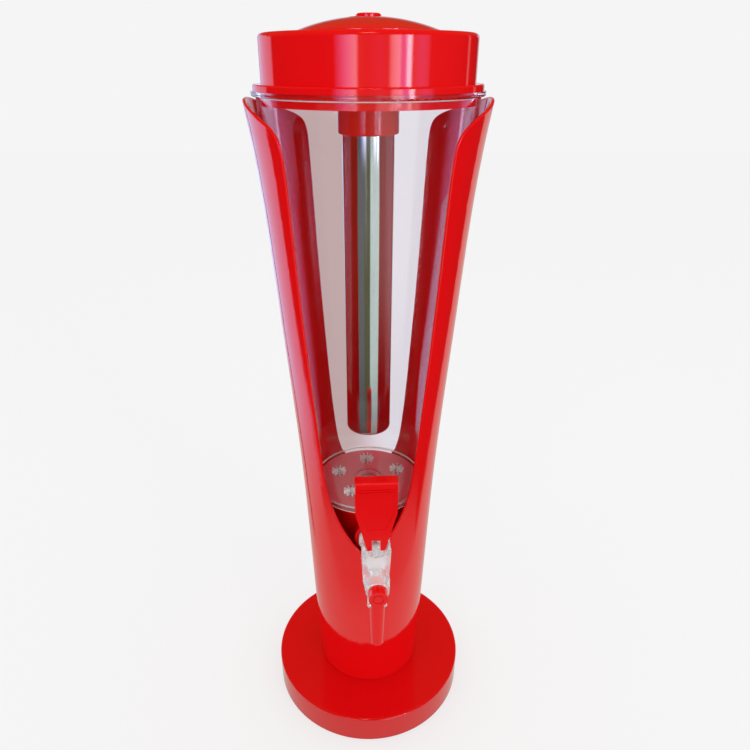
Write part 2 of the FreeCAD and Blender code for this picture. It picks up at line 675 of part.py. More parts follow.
def vessel_screws():
    screws = []
    for x, y in ring_places(FLOOR_BOSS_COUNT, FLOOR_BOSS_RING_R, FIVE_SCREWS_TURN):
        screws.append(screw(VESSEL_SCREW_L, x, y, CORE_PLATE_Z + VESSEL_SCREW_L))
    return turned(grouped(screws))


def vessel_gasket():
    """Soft ring between the column's plate and the vessel's floor."""
    outer_r = VESSEL_BOTTOM_R - VESSEL_CORNER_R - FREE_GAP
    ring = spun([
        (SPIGOT_R + SCREW_FIT, CORE_TOP), (outer_r, CORE_TOP),
        (outer_r, VESSEL_FLOOR_Z), (SPIGOT_R + SCREW_FIT, VESSEL_FLOOR_Z),
    ])
    holes = []
    for x, y in ring_places(FLOOR_BOSS_COUNT, FLOOR_BOSS_RING_R, FIVE_SCREWS_TURN):
        holes.append(upright(SCREW_R + SCREW_FIT, CORE_TOP, VESSEL_FLOOR_Z, x, y))
    return turned(ring.cut(holes))


# ---- Sump ----
def outlet_sump():
    """Cup under the vessel's spigot, with an arm that takes the tap's shank."""
    top = CORE_PLATE_Z
    bottom = TAP_Z - SUMP_ARM_R - SUMP_FLOOR_T / 2.0
    cup = upright(SUMP_R, bottom, top)
    arm = forward_rod(SUMP_ARM_R, 0, SUMP_ARM_L)
    socket = upright(SPIGOT_R + SEAL_FIT, VESSEL_FLOOR_Z - SPIGOT_L, top)
    well = upright(SPIGOT_BORE_R, bottom + SUMP_FLOOR_T, top)
    shank_socket = forward_rod(SHANK_R + SEAL_FIT, SHANK_END, SUMP_ARM_L)
    bore = forward_rod(TAP_BORE_R, 0, SUMP_ARM_L)
    ring_groove = upright(SPIGOT_R + O_RING_T, top - 2 * O_RING_T, top)
    return turned(joined([cup, arm]).cut([socket, well, shank_socket, bore, ring_groove]))


def spigot_seal():
    wire_r = O_RING_T / 2.0
    return turned(o_ring(SPIGOT_R + wire_r, wire_r, CORE_PLATE_Z - O_RING_T))


# ---- Tap ----
def tap_body():
    """Clear tap: shank, flange, neck, barrel with valve tower, yoke and spout collar."""
    flange = forward_rod(TAP_FLANGE_R, TAP_FLANGE_BACK, TAP_FLANGE_FRONT)
    shank = forward_rod(SHANK_R, SHANK_END, TAP_FLANGE_FRONT)
    neck = forward_rod(NECK_R, TAP_FLANGE_BACK, BARREL_BACK + BITE)
    barrel = forward_rod(BARREL_R, BARREL_BACK, BARREL_BELLY)
    nose = Part.makeCone(
        BARREL_R, BARREL_RIM_R, BARREL_FRONT - BARREL_BELLY,
        FreeCAD.Vector(0, -BARREL_BELLY, TAP_Z), FORWARD)
    tower = upright(TOWER_R, TAP_Z, BONNET_TOP, 0, -VALVE_Y)
    collar = upright(COLLAR_R, COLLAR_BOTTOM, TAP_Z, 0, -SPOUT_Y)
    collar = collar.common(block(-COLLAR_R, COLLAR_R, BARREL_BELLY - OVERSHOOT, BARREL_FRONT,
                                 COLLAR_BOTTOM, TAP_Z))
    solid = joined([flange, shank, neck, barrel, nose, tower, collar, ear(-1), ear(1), yoke_wall()])
    chamber_floor = TAP_Z - CHAMBER_FLOOR_DROP
    hollows = [
        forward_rod(TAP_BORE_R, SHANK_END, BARREL_FRONT),
        upright(CHAMBER_R, chamber_floor, BONNET_TOP, 0, -VALVE_Y),
        upright(BONNET_R + SEAL_FIT, BONNET_TOP - BONNET_T, BONNET_TOP, 0, -VALVE_Y),
        forward_rod(FRONT_BORE_R, BARREL_FRONT - FRONT_BORE_DEPTH, BARREL_FRONT),
        upright(SPOUT_TOP_R + SEAL_FIT, COLLAR_BOTTOM, SPOUT_TOP, 0, -SPOUT_Y),
        upright(SPOUT_BORE_R, SPOUT_TOP, TAP_Z, 0, -SPOUT_Y),
        sideways_rod(PIVOT_R, -BASE_R, BASE_R, -PIVOT_Y, PIVOT_Z),
    ]
    return turned(solid.cut(hollows))


def ear(side):
    """One upright ear beside the handle's foot, leaning out towards its top."""
    foot_z = TAP_Z + BITE
    lean_x = EAR_INNER_X + HANDLE_SPREAD * (EAR_TOP_Z - FOOT_BOTTOM)
    outline = [
        (side * (EAR_INNER_X - BITE), foot_z), (side * (EAR_INNER_X + EAR_FOOT_T), foot_z),
        (side * (EAR_INNER_X + EAR_SPREAD), PIVOT_Z - BITE),
        (side * (lean_x + EAR_TIP_T), EAR_TOP_Z), (side * lean_x, EAR_TOP_Z),
        (side * EAR_INNER_X, FOOT_BOTTOM), (side * EAR_INNER_X, BONNET_TOP),
        (side * (EAR_INNER_X - BITE), BONNET_TOP - BITE),
    ]
    plate = prism_y(outline, EAR_BACK, EAR_FRONT)
    reach = EAR_INNER_X + EAR_SPREAD + OVERSHOOT
    profile = [
        (EAR_BACK, foot_z), (EAR_BACK, BONNET_TOP), (PIVOT_Y - OVERSHOOT, EAR_TOP_Z),
        (EAR_FRONT - EAR_CHAMFER, EAR_TOP_Z), (EAR_FRONT, PIVOT_Z), (EAR_FRONT, foot_z),
    ]
    return plate.common(prism_x(profile, -reach, reach))


def yoke_wall():
    """The low wall that joins the ears in front of the handle's foot."""
    half = EAR_INNER_X + BITE
    wall = block(-half, half, YOKE_BACK, EAR_FRONT, TAP_Z + BITE, PIVOT_Z - YOKE_DROP)
    return wall.cut(forward_rod(YOKE_DIP_R, YOKE_BACK, EAR_FRONT, PIVOT_Z + YOKE_DIP_RISE))


def tap_gasket():
    """Soft washer between the tap's flange and the column's seat."""
    washer = forward_rod(TAP_FLANGE_R - FREE_GAP, SEAT_Y, TAP_FLANGE_BACK)
    return turned(washer.cut(forward_rod(SHANK_R + SCREW_FIT, 0, TAP_FLANGE_FRONT)))


def tap_nut():
    """Hexagon nut on the shank, inside the column's seat."""
    front = SEAT_Y - SEAT_FACE_T
    corner_r = NUT_ACROSS_FLATS / 2.0 / math.cos(math.pi / NUT_SIDES)
    corners = [(x, TAP_Z + z) for x, z in ring_places(NUT_SIDES, corner_r)]
    nut = prism_y(corners, front - NUT_T, front)
    return turned(nut.cut(forward_rod(SHANK_R + SEAL_FIT, 0, SEAT_Y)))


def tap_front_plug():
    """Red plug in the barrel's nose, hollow behind and open to the spout below it."""
    head = forward_rod(PLUG_HEAD_R, BARREL_FRONT, BARREL_FRONT + PLUG_HEAD_L)
    head_end = BARREL_FRONT + PLUG_HEAD_L
    stem_end = BARREL_FRONT - FRONT_BORE_DEPTH + PLUG_END_GAP
    stem = forward_rod(FRONT_BORE_R - SEAL_FIT, stem_end, BARREL_FRONT)
    hollow = forward_rod(FRONT_BORE_R - PLUG_WALL, stem_end, BARREL_FRONT)
    port = upright(SPOUT_BORE_R + SCREW_FIT, 0, TAP_Z, 0, -SPOUT_Y)
    ring_face = forward_rod(PLUG_RING_R, head_end - PLUG_RING_T, head_end)
    ring_island = forward_rod(PLUG_RING_R - PLUG_RING_T, head_end - PLUG_RING_T, head_end)
    plug = joined([head, stem]).cut([hollow, port, ring_face.cut(ring_island)])
    return turned(plug)


def tap_spout():
    """Red spout, tapered down to its tip, with its head held in the tap's collar."""
    spout = joined([
        upright(SPOUT_TOP_R, COLLAR_BOTTOM, SPOUT_TOP, 0, -SPOUT_Y),
        Part.makeCone(SPOUT_TIP_R, SPOUT_TOP_R, COLLAR_BOTTOM - SPOUT_TIP,
                      FreeCAD.Vector(0, -SPOUT_Y, SPOUT_TIP), UP),
    ])
    return turned(spout.cut(upright(SPOUT_BORE_R, SPOUT_TIP, SPOUT_TOP, 0, -SPOUT_Y)))


def tap_pins():
    """Two short pins, pressed into the ears, on which the handle turns."""
    outer_x = EAR_INNER_X + EAR_SPREAD - EAR_TIP_T
    pins = []
    for side in (-1, 1):
        ends = sorted((side * (NOTCH_W / 2.0 + FREE_GAP), side * outer_x))
        pins.append(sideways_rod(PIVOT_R, ends[0], ends[1], -PIVOT_Y, PIVOT_Z))
    return turned(grouped(pins))


# ---- Valve ----
def valve_bonnet():
    """Ring that closes the valve chamber and guides the stem."""
    ring = upright(BONNET_R, BONNET_TOP - BONNET_T, BONNET_TOP, 0, -VALVE_Y)
    guide = upright(STEM_R + RUN_FIT, BONNET_TOP - BONNET_T, BONNET_TOP, 0, -VALVE_Y)
    return turned(ring.cut(guide))


def valve_plug():
    """Soft plug that blocks the bore and lifts out of its way."""
    bottom = TAP_Z - CHAMBER_FLOOR_DROP + FREE_GAP
    plug = upright(PLUG_R, bottom, bottom + PLUG_H, 0, -VALVE_Y)
    socket = upright(STEM_R, bottom + PLUG_H / 2.0, bottom + PLUG_H, 0, -VALVE_Y)
    return turned(plug.cut(socket))


def valve_stem():
    """Thin rod with a ball head, which the handle's foot lifts."""
    bottom = TAP_Z - CHAMBER_FLOOR_DROP + FREE_GAP + PLUG_H / 2.0
    rod = upright(STEM_R, bottom, STEM_BALL_Z, 0, -VALVE_Y)
    ball = Part.makeSphere(STEM_BALL_R, FreeCAD.Vector(0, -VALVE_Y, STEM_BALL_Z))
    return turned(joined([rod, ball]))


# ---- Handle ----
def tap_handle():
    """Flat red paddle: thick head on top, forked foot with a heel on the pins below."""
    half_top = HANDLE_W / 2.0
    half_foot = FOOT_W / 2.0
    outline = [
        (-half_foot, FOOT_BOTTOM), (half_foot, FOOT_BOTTOM), (half_top, HANDLE_SHOULDER_Z),
        (half_top, HANDLE_TOP), (-half_top, HANDLE_TOP), (-half_top, HANDLE_SHOULDER_Z),
    ]
    plate_front = PIVOT_Y + HANDLE_T / 2.0
    plate = prism_y(outline, plate_front - HANDLE_T, plate_front)
    head_z = HANDLE_TOP - HEAD_H
    head_front = PIVOT_Y + HEAD_T / 2.0
    head = block(-half_top, half_top, head_front - HEAD_T, head_front, head_z, HANDLE_TOP)
    head = rounded(head, HEAD_EDGE_R, lambda edge: edge.CenterOfMass.z > head_z + HEAD_EDGE_R)
    heel_profile = [
        (HEEL_BACK, FOOT_BOTTOM), (PIVOT_Y, FOOT_BOTTOM), (PIVOT_Y, FOOT_TOP),
        (HEEL_BACK, PIVOT_Z + HEEL_RISE),
    ]
    heel = prism_x(heel_profile, -half_foot, half_foot)
    grooves = []
    for index in range(GROOVE_COUNT):
        groove_z = head_z + (2 * index + 1) * GROOVE_W
        grooves.append(block(-half_top, half_top, head_front - GROOVE_DEPTH, head_front + OVERSHOOT,
                             groove_z, groove_z + GROOVE_W))
    border = prism_y([
        (-half_foot, FOOT_TOP + BORDER_INSET), (half_foot, FOOT_TOP + BORDER_INSET),
        (half_top - BORDER_INSET, HANDLE_SHOULDER_Z + BORDER_INSET / 2.0),
        (half_top - BORDER_INSET, head_z - BORDER_INSET),
        (-half_top + BORDER_INSET, head_z - BORDER_INSET),
        (-half_top + BORDER_INSET, HANDLE_SHOULDER_Z + BORDER_INSET / 2.0),
    ], plate_front - BORDER_DEPTH, plate_front + OVERSHOOT)
    half_notch = NOTCH_W / 2.0
    notch = block(-half_notch, half_notch, HEEL_BACK - OVERSHOOT, plate_front + OVERSHOOT,
                  FOOT_BOTTOM - OVERSHOOT, NOTCH_TOP)
    pivot = sideways_rod(PIVOT_R + RUN_FIT, -half_top, half_top, -PIVOT_Y, PIVOT_Z)
    handle = joined([plate, head, heel]).cut(grooves + [border, notch, pivot])
    return turned(handle)


# ---- Lid ----
def lid_cap():
    """Red cap: flange, drum side, shallow dome with finger scoops round the knob."""
    inner_r = LID_R - LID_WALL
    crown = LID_TOP - LID_WALL
    shell = spun([
        (inner_r, LID_BOTTOM), (LID_FLANGE_R, LID_BOTTOM), (LID_FLANGE_R, LID_FLANGE_TOP),
        (LID_R, LID_FLANGE_TOP), (LID_R, LID_TOP), (0, LID_TOP), (0, crown), (inner_r, crown),
    ])
    shell = rounded(shell, LID_EDGE_R, lambda edge: circle_at(edge, LID_R, LID_TOP))
    shell = rounded(shell, LIP_R, lambda edge: circle_at(edge, LID_FLANGE_R, LID_FLANGE_TOP))
    dome = dome_solid(0.0).cut(scoops()).cut(dome_solid(LID_WALL))
    screw_hole = upright(SCREW_R + SCREW_FIT, crown - OVERSHOOT, DOME_TOP + OVERSHOOT)
    hollow = dome_solid(LID_WALL)
    seat = upright(KNOB_R + SCREW_FIT, KNOB_BOTTOM, DOME_TOP + OVERSHOOT)
    return joined([shell.cut(hollow), dome]).cut([screw_hole, seat])


def dome_solid(inset):
    """The low dome on the lid, inside its surface by the inset, from the crown up."""
    sphere_r = (DOME_R ** 2 + DOME_RISE ** 2) / (2.0 * DOME_RISE)
    centre = FreeCAD.Vector(0, 0, DOME_TOP - sphere_r)
    sphere = Part.makeSphere(sphere_r - inset, centre)
    foot = LID_TOP - LID_WALL - inset
    return sphere.common(upright(DOME_R - inset, foot, DOME_TOP))


def scoops():
    """Shallow round hollows about the knob, for the fingers."""
    tools = []
    for x, y in ring_places(SCOOP_COUNT, SCOOP_RING_R):
        centre = FreeCAD.Vector(x, y, DOME_TOP + SCOOP_R - SCOOP_DEPTH)
        tools.append(Part.makeSphere(SCOOP_R, centre))
    return tools


def lid_knob():
    knob = upright(KNOB_R, KNOB_BOTTOM, KNOB_TOP)
    knob = rounded(knob, KNOB_EDGE_R, lambda edge: circle_at(edge, KNOB_R, KNOB_TOP))
    return knob.cut(upright(SCREW_R, KNOB_BOTTOM, KNOB_TOP - KNOB_SKIN))


def lid_screw():
    return screw(LID_SCREW_L, 0, 0, KNOB_TOP - KNOB_SKIN)


def lid_liner():
    """Inner skirt that drops into the vessel's mouth, with the stub for the ice tube."""
    plate_top = LID_FLANGE_TOP
    plate_bottom = plate_top - SKIRT_PLATE_T
    fit_r = LID_R - LID_WALL - SEAL_FIT
    inner_r = fit_r - SKIRT_WALL
    groove_r = LID_SEAL_R - O_RING_T
    groove_bottom = LID_SEAL_Z - O_RING_T / 2.0
    groove_top = LID_SEAL_Z + O_RING_T / 2.0
    return spun([
        (STUB_BORE_R, STUB_BOTTOM), (STUB_R, STUB_BOTTOM), (STUB_R, plate_bottom),
        (inner_r, plate_bottom), (inner_r, SKIRT_BOTTOM), (SKIRT_R, SKIRT_BOTTOM),
        (SKIRT_R, groove_bottom), (groove_r, groove_bottom), (groove_r, groove_top),
        (SKIRT_R, groove_top), (SKIRT_R, LID_BOTTOM), (fit_r, LID_BOTTOM),
        (fit_r, plate_top), (STUB_BORE_R, plate_top),
    ])


def lid_seal():
    return o_ring(LID_SEAL_R - O_RING_T / 2.0, O_RING_T / 2.0, LID_SEAL_Z)


# ---- Ice tube ----
def ice_tube():
    """Thin-walled steel tube, closed at its foot, that hangs in the drink."""
    top = ICE_COLLAR_LEDGE
    outside = upright(ICE_TUBE_R, ICE_TUBE_BOTTOM, top)
    outside = rounded(
        outside, ICE_TUBE_EDGE_R, lambda edge: circle_at(edge, ICE_TUBE_R, ICE_TUBE_BOTTOM))
    inner_r = ICE_TUBE_R - ICE_TUBE_WALL
    inner_floor = ICE_TUBE_BOTTOM + ICE_TUBE_WALL
    inside = upright(inner_r, inner_floor, top)
    inner_edge_r = ICE_TUBE_EDGE_R - ICE_TUBE_WALL
    inside = rounded(inside, inner_edge_r, lambda edge: circle_at(edge, inner_r, inner_floor))
    return outside.cut(inside)


def ice_tube_collar():
    """Red collar on the tube's mouth that screws onto the lid's stub."""
    collar = spun([
        (ICE_TUBE_R + SEAL_FIT, ICE_COLLAR_BOTTOM), (ICE_COLLAR_R, ICE_COLLAR_BOTTOM),
        (ICE_COLLAR_R, ICE_COLLAR_TOP), (STUB_R + FREE_GAP, ICE_COLLAR_TOP),
        (STUB_R + FREE_GAP, ICE_COLLAR_LEDGE), (ICE_TUBE_R + SEAL_FIT, ICE_COLLAR_LEDGE),
    ])
    return rounded(
        collar, ICE_COLLAR_EDGE_R, lambda edge: circle_at(edge, ICE_COLLAR_R, ICE_COLLAR_BOTTOM))


def ice_tube_seal():
    """Soft ring that closes the tube's mouth against the lid's stub."""
    outer_r = ICE_TUBE_R - ICE_TUBE_WALL
    top = ICE_COLLAR_LEDGE
    return spun([
        (STUB_R + FREE_GAP, top - ICE_SEAL_T), (outer_r, top - ICE_SEAL_T), (outer_r, top),
        (STUB_R + FREE_GAP, top),
    ])


NODES = {
    "foot_pad": foot_pad,
    "base_cover": base_cover,
    "base_screws": base_screws,
    "base_weight": base_weight,
    "base_disc": base_disc,
    "core_tube": core_tube,
    "core_screws": core_screws,
    "front_shell": lambda: half_shell(-1, 1.0),
    "rear_shell": lambda: half_shell(1, REAR_WINDOW_SCALE),
    "seam_screws": seam_screws,
    "vessel": vessel,
    "vessel_screws": vessel_screws,
    "vessel_gasket": vessel_gasket,
    "outlet_sump": outlet_sump,
    "spigot_seal": spigot_seal,
    "tap_body": tap_body,
    "tap_gasket": tap_gasket,
    "tap_nut": tap_nut,
    "tap_front_plug": tap_front_plug,
    "tap_spout": tap_spout,
    "tap_pins": tap_pins,
    "valve_bonnet": valve_bonnet,
    "valve_plug": valve_plug,
    "valve_stem": valve_stem,
    "tap_handle": tap_handle,
    "lid_cap": lid_cap,
    "lid_knob": lid_knob,
    "lid_screw": lid_screw,
    "lid_liner": lid_liner,
    "lid_seal": lid_seal,
    "ice_tube": ice_tube,
    "ice_tube_collar": ice_tube_collar,
    "ice_tube_seal": ice_tube_seal,
}

for name, make in NODES.items():
    shape = make()
    shape.exportStep("parts/" + name + ".step")
    print(name, shape.isValid(), len(shape.Solids), round(shape.Volume / 1000.0, 2), "cm3")
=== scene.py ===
import math

import bmesh
import bpy
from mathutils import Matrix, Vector


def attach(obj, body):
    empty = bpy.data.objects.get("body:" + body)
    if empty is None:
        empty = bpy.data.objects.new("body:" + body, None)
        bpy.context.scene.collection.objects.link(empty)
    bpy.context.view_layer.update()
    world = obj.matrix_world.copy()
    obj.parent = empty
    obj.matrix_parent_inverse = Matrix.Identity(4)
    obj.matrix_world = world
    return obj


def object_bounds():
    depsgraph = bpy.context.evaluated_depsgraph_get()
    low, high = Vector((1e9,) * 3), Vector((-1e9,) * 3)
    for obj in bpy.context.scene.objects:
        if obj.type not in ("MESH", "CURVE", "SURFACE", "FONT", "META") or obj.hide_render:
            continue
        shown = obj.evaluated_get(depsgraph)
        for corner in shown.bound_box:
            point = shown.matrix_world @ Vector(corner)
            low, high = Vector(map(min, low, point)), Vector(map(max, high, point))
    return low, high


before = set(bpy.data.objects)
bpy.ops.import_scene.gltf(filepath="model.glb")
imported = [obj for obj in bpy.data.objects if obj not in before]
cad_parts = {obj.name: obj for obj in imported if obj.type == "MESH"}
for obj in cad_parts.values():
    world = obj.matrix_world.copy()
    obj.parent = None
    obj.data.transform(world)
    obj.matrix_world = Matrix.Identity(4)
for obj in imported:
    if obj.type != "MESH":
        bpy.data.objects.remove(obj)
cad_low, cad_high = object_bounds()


# ---- Camera ----
# It stands in front of the tap, level with the lid, and looks down the tower. The lens is
# short, so the lid looks large and the base small.
CAMERA_PLACE = Vector((0.0, -0.4927, 0.5954))
CAMERA_PITCH = math.radians(28.36)
SENSOR = 36.0
FOCAL_SHARE = 0.8462        # focal length beside the frame's width
FRAME_SHIFT = (0.0087, 0.0369)
NEAREST, FURTHEST = 0.01, 30.0

scene = bpy.context.scene
scene.view_settings.view_transform = "Standard"
camera_data = bpy.data.cameras.new("camera")
camera_data.sensor_width = SENSOR
camera_data.lens = SENSOR * FOCAL_SHARE
camera_data.shift_x, camera_data.shift_y = FRAME_SHIFT
camera_data.clip_start, camera_data.clip_end = NEAREST, FURTHEST
camera = bpy.data.objects.new("camera", camera_data)
camera.location = CAMERA_PLACE
camera.rotation_euler = (math.pi / 2 - CAMERA_PITCH, 0.0, 0.0)
scene.collection.objects.link(camera)
scene.camera = camera


# ---- Studio sky ----
# An even pale sky lights the matt surfaces. Gloss sees a room in its place: windows in front,
# a pale wall on the left, dim corners, a warm ceiling with a lamp, and a floor.
class Field:
    """A shader socket whose value varies from place to place. Arithmetic adds Math nodes."""

    def __init__(self, recipe, socket):
        self.recipe = recipe
        self.socket = socket

    def _math(self, operation, left, right):
        return self.recipe.node("ShaderNodeMath", {"operation": operation}, {0: left, 1: right})

    def __add__(self, other):
        return self._math("ADD", self, other)

    def __radd__(self, other):
        return self._math("ADD", other, self)

    def __sub__(self, other):
        return self._math("SUBTRACT", self, other)

    def __rsub__(self, other):
        return self._math("SUBTRACT", other, self)

    def __mul__(self, other):
        return self._math("MULTIPLY", self, other)

    def __rmul__(self, other):
        return self._math("MULTIPLY", other, self)

    def __truediv__(self, other):
        return self._math("DIVIDE", self, other)

    def __rtruediv__(self, other):
        return self._math("DIVIDE", other, self)


class Recipe:
    """A node tree with one way to add a node: its type, settings and socket values."""

    def __init__(self, tree, output_type):
        self.tree = tree
        self.tree.nodes.clear()
        self.output = self.tree.nodes.new(output_type)

    def fill(self, socket, value):
        if isinstance(value, Field):
            self.tree.links.new(value.socket, socket)
        else:
            socket.default_value = value

    def node(self, kind, settings=None, sockets=None, out=0):
        """Adds a node: its settings first, then the values or links of its sockets."""
        added = self.tree.nodes.new(kind)
        for name, value in (settings or {}).items():
            if name == "stops":
                elements = added.color_ramp.elements
                elements.remove(elements[1])
                for index, (place, tone) in enumerate(value):
                    element = elements.new(place) if index else elements[0]
                    element.position = place
                    element.color = (*tone, 1.0)
            else:
                setattr(added, name, value)
        for key, value in (sockets or {}).items():
            self.fill(added.inputs[key], value)
        return Field(self, added.outputs[out])

    def outputs(self, field):
        """A way to name any output of the node that a field comes from."""
        sockets = field.socket.node.outputs
        return lambda key: Field(self, sockets[key])

    def surface(self, shader):
        self.tree.links.new(shader.socket, self.output.inputs["Surface"])

    def blend(self, share, first, second):
        """A colour between two, by a field."""
        return self.node("ShaderNodeMix", {"data_type": "RGBA"}, {0: share, 6: first, 7: second}, 2)

    def mix(self, share, first, second):
        """A shader between two, by a field."""
        return self.node("ShaderNodeMixShader", None, {0: share, 1: first, 2: second})

    def clamp(self, value):
        return self.node("ShaderNodeClamp", None, {"Value": value})

    def smooth(self, value, low, high):
        """0 below low, 1 above high, and a smooth step between."""
        return self.node("ShaderNodeMapRange", {"interpolation_type": "SMOOTHSTEP"},
                         {"Value": value, "From Min": low, "From Max": high})

    def axes(self, vector):
        """The three numbers of a vector."""
        number = self.outputs(self.node("ShaderNodeSeparateXYZ", None, {0: vector}))
        return number(0), number(1), number(2)

    def ray_kinds(self):
        """Shares for a camera ray, one that has only passed clear plastic, and a reflection."""
        ray = self.outputs(self.node("ShaderNodeLightPath"))
        scattered = ray("Diffuse Depth")
        through = ray("Is Transmission Ray") - ray("Glossy Depth")
        mirrored = ray("Is Glossy Ray") - scattered
        return ray("Is Camera Ray"), self.clamp(through - scattered), self.clamp(mirrored)


def grey(tone):
    return (tone, tone, tone, 1.0)


BACKDROP_TONE = 0.913       # the pale background, as light
SKY_TONE = 0.92             # what lights matt surfaces
THROUGH_LEFT = (0.61, 0.46, 0.46, 1.0)      # the background as the vessel shows it
THROUGH_RIGHT = (0.86, 0.82, 0.89, 1.0)
THROUGH_EAST = (-0.03, 0.03)                # where the left tone turns into the right one

# The room. A direction in it is an east, a north and a height, each from -1 to 1. A pair of
# numbers is the span of one of them over which one thing gives way to the next.
DARK = (0.02, 0.02, 0.02)
PALE_WALL = (0.7, 0.92, 1.3)
DOOR_EDGE = (0.1, 0.04, 0.12)
HORIZON = (-0.15, -0.03)                    # from the lower view to the level view
BACK_NORTH = (0.2, 0.4)                     # from the front of the room to its back
WARM_CEILING = (0.2, 0.08, 0.035, 1.0)
CEILING_HEIGHT = (0.1, 0.3)
CEILING_LAMP = (3.4, 3.1, 2.5, 1.0)
LAMP_FOOT = (0.58, 0.66)
LAMP_HEAD, LAMP_HEAD_FADE = 0.84, 0.08
LAMP_SIDE, LAMP_SIDE_FADE = 0.02, 0.015     # half its width and how that fades, squared
LAMP_SOUTH = (0.1, 0.2)
INNER_BAR = (0.4, 0.3, 0.5, 1.0)            # a window bar that only the vessel's side shows
BAR_EAST = (0.52, 0.6)
BAR_HEIGHT = (-0.1, -0.03)
DARK_DEPTH = (0.4, 0.6)                     # the dark below the table's edge
ROOM_FLOOR = (0.5, 0.42, 0.4, 1.0)
FLOOR_DEPTH = (0.62, 0.7)
FLOOR_NORTH, FLOOR_FADE = 0.16, 0.05

# What gloss sees round the tower, by degrees from the front, rightwards: pale wall on the left,
# window panes with their bars in front, dim room on the right
LEVEL_VIEW = (
    (-180.0, (0.7, 0.8, 0.9)), (-166.0, PALE_WALL), (-165.0, DOOR_EDGE), (-161.0, DOOR_EDGE),
    (-160.0, PALE_WALL), (-118.0, PALE_WALL), (-115.0, DARK), (-35.0, DARK),
    (-27.5, (1.0, 1.0, 2.4)), (-21.0, (2.3, 2.3, 4.4)), (-12.0, (4.0, 4.0, 4.8)),
    (-10.5, (0.4, 0.4, 0.4)), (-2.5, (0.25, 0.25, 0.25)), (12.0, (0.35, 0.35, 0.6)),
    (20.0, (0.3, 0.3, 0.3)), (23.0, (3.0, 3.0, 3.4)), (31.0, (4.8, 4.8, 6.2)),
    (33.0, (1.7, 1.7, 4.4)), (37.5, (1.7, 1.7, 4.4)), (39.5, (11.0, 11.0, 14.0)),
    (42.5, (12.0, 12.0, 15.0)), (44.5, (0.6, 0.6, 0.6)), (55.0, (0.8, 0.8, 1.8)),
    (62.0, (0.6, 0.6, 1.0)), (65.0, (0.1, 0.1, 0.1)), (121.0, DARK), (124.0, (0.7, 0.7, 0.7)),
    (128.0, DARK), (152.0, DARK), (158.0, (0.6, 0.65, 0.75)), (180.0, (0.7, 0.75, 0.85)),
)
# The same below the level of the eye: what the ice tube shows
LOWER_VIEW = (
    (-180.0, PALE_WALL), (-118.0, PALE_WALL), (-114.0, DARK), (-55.0, DARK),
    (-50.0, (0.17, 0.18, 0.19)), (-22.0, (0.17, 0.18, 0.19)), (-18.0, (0.14, 0.135, 0.07)),
    (6.0, (0.14, 0.135, 0.07)), (10.0, (0.75, 0.87, 0.83)), (50.0, (0.75, 0.87, 0.83)),
    (54.0, DARK), (152.0, DARK), (158.0, (0.6, 0.6, 0.62)), (180.0, (0.6, 0.6, 0.62)),
)
# Behind the tower, as gloss inside the shells sees it through the rear window
BACK_VIEW = (
    (-180.0, (0.8, 0.7, 1.0)), (-150.0, PALE_WALL), (-139.0, PALE_WALL),
    (-137.0, (3.2, 2.8, 4.2)), (-133.0, (3.2, 2.8, 4.2)), (-131.0, (0.8, 0.5, 1.0)),
    (-105.0, (0.6, 0.3, 0.6)), (105.0, (0.6, 0.3, 0.6)), (128.0, (0.8, 0.5, 1.0)),
    (130.0, (3.2, 2.8, 4.2)), (133.0, (3.2, 2.8, 4.2)), (135.0, PALE_WALL),
    (150.0, PALE_WALL), (180.0, (0.8, 0.7, 1.0)),
)

world = bpy.data.worlds.new("studio")
scene.world = world
world.use_nodes = True
sky = Recipe(world.node_tree, "ShaderNodeOutputWorld")
east, north, height = sky.axes(sky.node("ShaderNodeTexCoord", None, None, "Generated"))
south = 0 - north
depth = 0 - height
bearing = sky.node("ShaderNodeMath", {"operation": "ARCTAN2"}, {0: east, 1: south})
turn = bearing / math.tau + 0.5


def ring_view(view):
    """A view all round the tower, as a colour by the ray's direction."""
    stops = [(degrees / 360.0 + 0.5, tone) for degrees, tone in view]
    return sky.node("ShaderNodeValToRGB", {"stops": stops}, {"Fac": turn})


sky_ray = sky.outputs(sky.node("ShaderNodeLightPath"))
inside = sky.clamp(sky_ray("Transmission Depth"))
first_mirror = sky.clamp(2 - sky_ray("Glossy Depth"))

room = sky.blend(sky.smooth(height, *HORIZON), ring_view(LOWER_VIEW), ring_view(LEVEL_VIEW))
inner_bar = inside * sky.smooth(east, *BAR_EAST) * sky.smooth(height, *BAR_HEIGHT)
room = sky.blend(inner_bar, room, INNER_BAR)
room = sky.blend(inside * sky.smooth(north, *BACK_NORTH), room, ring_view(BACK_VIEW))
room = sky.blend(sky.smooth(height, *CEILING_HEIGHT), room, WARM_CEILING)
lamp_glow = sky.smooth(height, *LAMP_FOOT) * sky.smooth(LAMP_HEAD - height, 0.0, LAMP_HEAD_FADE)
lamp_glow = lamp_glow * sky.smooth(LAMP_SIDE - east * east, 0.0, LAMP_SIDE_FADE)
lamp_glow = lamp_glow * sky.smooth(south, *LAMP_SOUTH) * (1 - inside) * first_mirror
room = sky.blend(lamp_glow, room, CEILING_LAMP)
room = sky.blend(sky.smooth(depth, *DARK_DEPTH), room, (*DARK, 1.0))
in_front = sky.smooth(depth, *FLOOR_DEPTH) * sky.smooth(FLOOR_NORTH - north, 0.0, FLOOR_FADE)
room = sky.blend(in_front * first_mirror, room, ROOM_FLOOR)

camera_ray, straight_through, mirrored = sky.ray_kinds()
behind_glass = sky.blend(sky.smooth(east, *THROUGH_EAST), THROUGH_LEFT, THROUGH_RIGHT)
shown = sky.blend(mirrored, grey(SKY_TONE), room)
shown = sky.blend(straight_through, shown, behind_glass)
shown = sky.blend(camera_ray, shown, grey(BACKDROP_TONE))
sky.surface(sky.node("ShaderNodeBackground", None, {"Color": shown}))


